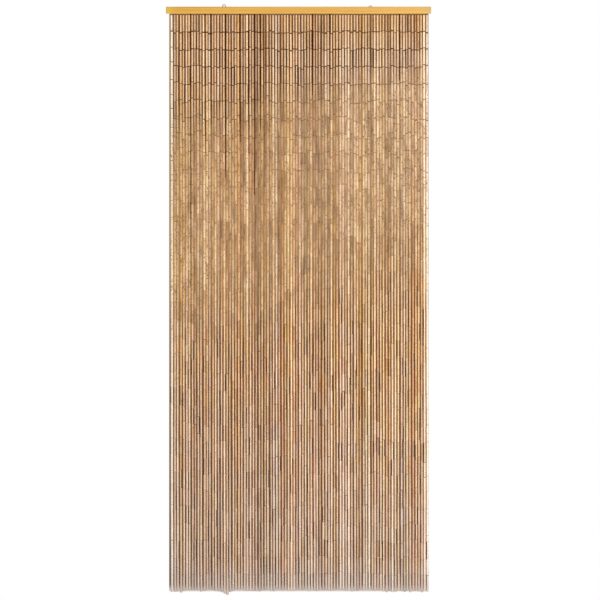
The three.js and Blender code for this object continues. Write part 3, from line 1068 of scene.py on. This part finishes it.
def set_wires(spots, turns, upright, leg):
    """A U at each spot, turned about its own height, and upside down where it isn't upright."""
    unit = wire_u(leg)
    unit[:, 2] += BEND_DROP
    flip = np.where(upright, 1.0, -1.0)[:, None]
    x, y, z = unit[:, 0], unit[:, 1] * flip, unit[:, 2] * flip
    cos, sin = np.cos(turns)[:, None], np.sin(turns)[:, None]
    corners = np.stack([x * cos - y * sin, x * sin + y * cos, np.broadcast_to(z, y.shape)], axis=2)
    return corners + spots[:, None]


def wire_group(name, keep):
    joints = points[keep][:, 1:-1].reshape(-1, 3)
    roots, ends = points[keep][:, 0], points[keep][:, -1]
    twist = dice.uniform(-WIRE_TWIST, WIRE_TWIST, len(joints))
    down, quarter = np.array([0, 0, -WIRE_RADIUS]), np.pi / 2
    plain = np.zeros(len(roots))
    sets = [
        set_wires(joints + down, twist, np.ones(len(joints), bool), LEG),
        set_wires(joints - down, twist + quarter, np.zeros(len(joints), bool), LEG),
        set_wires(roots + down, plain, np.ones(len(roots), bool), STAPLE_LEG),
        set_wires(roots - down, plain + quarter, np.zeros(len(roots), bool), LEG),
        set_wires(ends + 2 * down, plain, np.ones(len(ends), bool), LEG),
    ]
    corners = np.concatenate(sets)
    count, each = corners.shape[:2]
    faces = (np.arange(count)[:, None, None] * each + wire_faces()).reshape(-1, 4)
    piece = add_piece(name, corners.reshape(-1, 3), faces, [wire.material], "strands")
    u, v = (np.broadcast_to(part, (count, *part.shape)) for part in wire_map())
    grid_map(piece.data, [u], [v], int(np.ceil(count ** 0.5)))
    smooth_but_for_edges(piece.data, WIRE_CREASE)
    return count


thirds = np.array_split(strand, WIRE_GROUPS)
wires = [wire_group(f"wire_links_{side}", keep) for side, keep in zip(("left", "middle", "right"), thirds)]
print("wires:", sum(wires), "with", sum(wires) * 2 * len(wire_faces()), "triangles in all")

# %% [markdown]
# ## The batten
#
# The batten is a planed strip of light wood under an orange-yellow varnish. Its grain runs along it, in
# streaks that are some fifty times longer than wide. The varnish is more yellow at the left end and duller
# at the right one. A pale band along the lower edge is a painted highlight, where that edge catches the
# light. The solid already has its shape, so only its finish is made.

# %% Varnished wood
WOOD = [
    (0.0, shade(186, 132, 32)),
    (0.45, shade(202, 153, 47)),
    (1.0, shade(214, 170, 68)),
]

STREAKS, BANDS, PORES = (5, 260, 340), (1.6, 40, 60), (60, 1800, 2200)  # how fine, along and across
YELLOW_END, DULL_END = (-0.44, -0.415), (0.41, 0.445)  # places along the batten, in metres
HIGHLIGHT_FROM, HIGHLIGHT_TO = (-0.0225, -0.0205), (-0.019, -0.017)  # heights
GRAIN_RELIEF = 0.05 * MM

varnish = Finish("varnished wood")
spot = varnish.place()
streaks = varnish.noise(varnish.stretched(spot, STREAKS), detail=4, roughness=0.6)
bands = varnish.noise(varnish.stretched(spot, BANDS), detail=2)
pores = varnish.noise(varnish.stretched(spot, PORES), detail=1).between(0.62, 0.75)
timber = varnish.ramp((streaks * 0.55 + bands * 0.45).between(0.3, 0.7, "LINEAR"), WOOD)
timber = varnish.mix(pores * 0.3, timber, shade(170, 112, 48))
lengthwise = varnish.axis(spot, "X")
timber = varnish.mix((1 - lengthwise.between(*YELLOW_END)) * 0.75, timber, shade(210, 176, 44))
timber = varnish.mix(lengthwise.between(*DULL_END) * 0.6, timber, shade(188, 154, 88))
upward = varnish.axis(spot, "Z")
# A painted highlight along the lower edge.
lit_lower_edge = upward.between(*HIGHLIGHT_FROM) * (1 - upward.between(*HIGHLIGHT_TO))
timber = varnish.mix(lit_lower_edge * 0.35, timber, shade(220, 182, 112))
varnish.shade_with({
    "Base Color": timber,
    "Roughness": 0.5 + streaks * 0.12,
    "Specular IOR Level": 0.35,
    "Coat Weight": 0.1,
    "Coat Roughness": 0.3,
    "Normal": varnish.bump(streaks - pores * 0.5, GRAIN_RELIEF),
})
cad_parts["header"].material_slots[0].material = varnish.material

# %% [markdown]
# ## Plates and screws
#
# The two eyelet plates and their screws are stamped steel with a bright zinc coat, which has a faint
# pattern of crystals and fine scratches. They keep their solids too.

# %% Zinced steel
SCRATCH_RELIEF = 0.02 * MM

zinc = Finish("zinced steel")
spot = zinc.place()
crystals = zinc.noise(spot, scale=420, detail=2)
scratches = zinc.noise(zinc.stretched(spot, (240, 240, 4200)), detail=1)
zinc.shade_with({
    "Base Color": zinc.mix(crystals, shade(112, 112, 108), shade(140, 140, 134)),
    "Metallic": 1.0,
    "Roughness": 0.4 + crystals * 0.15 + scratches * 0.08,
    "Normal": zinc.bump(scratches, SCRATCH_RELIEF),
})
for side in ("left", "right"):
    for piece in ("hanger_plate", "hanger_screw"):
        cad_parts[f"{piece}_{side}"].material_slots[0].material = zinc.material
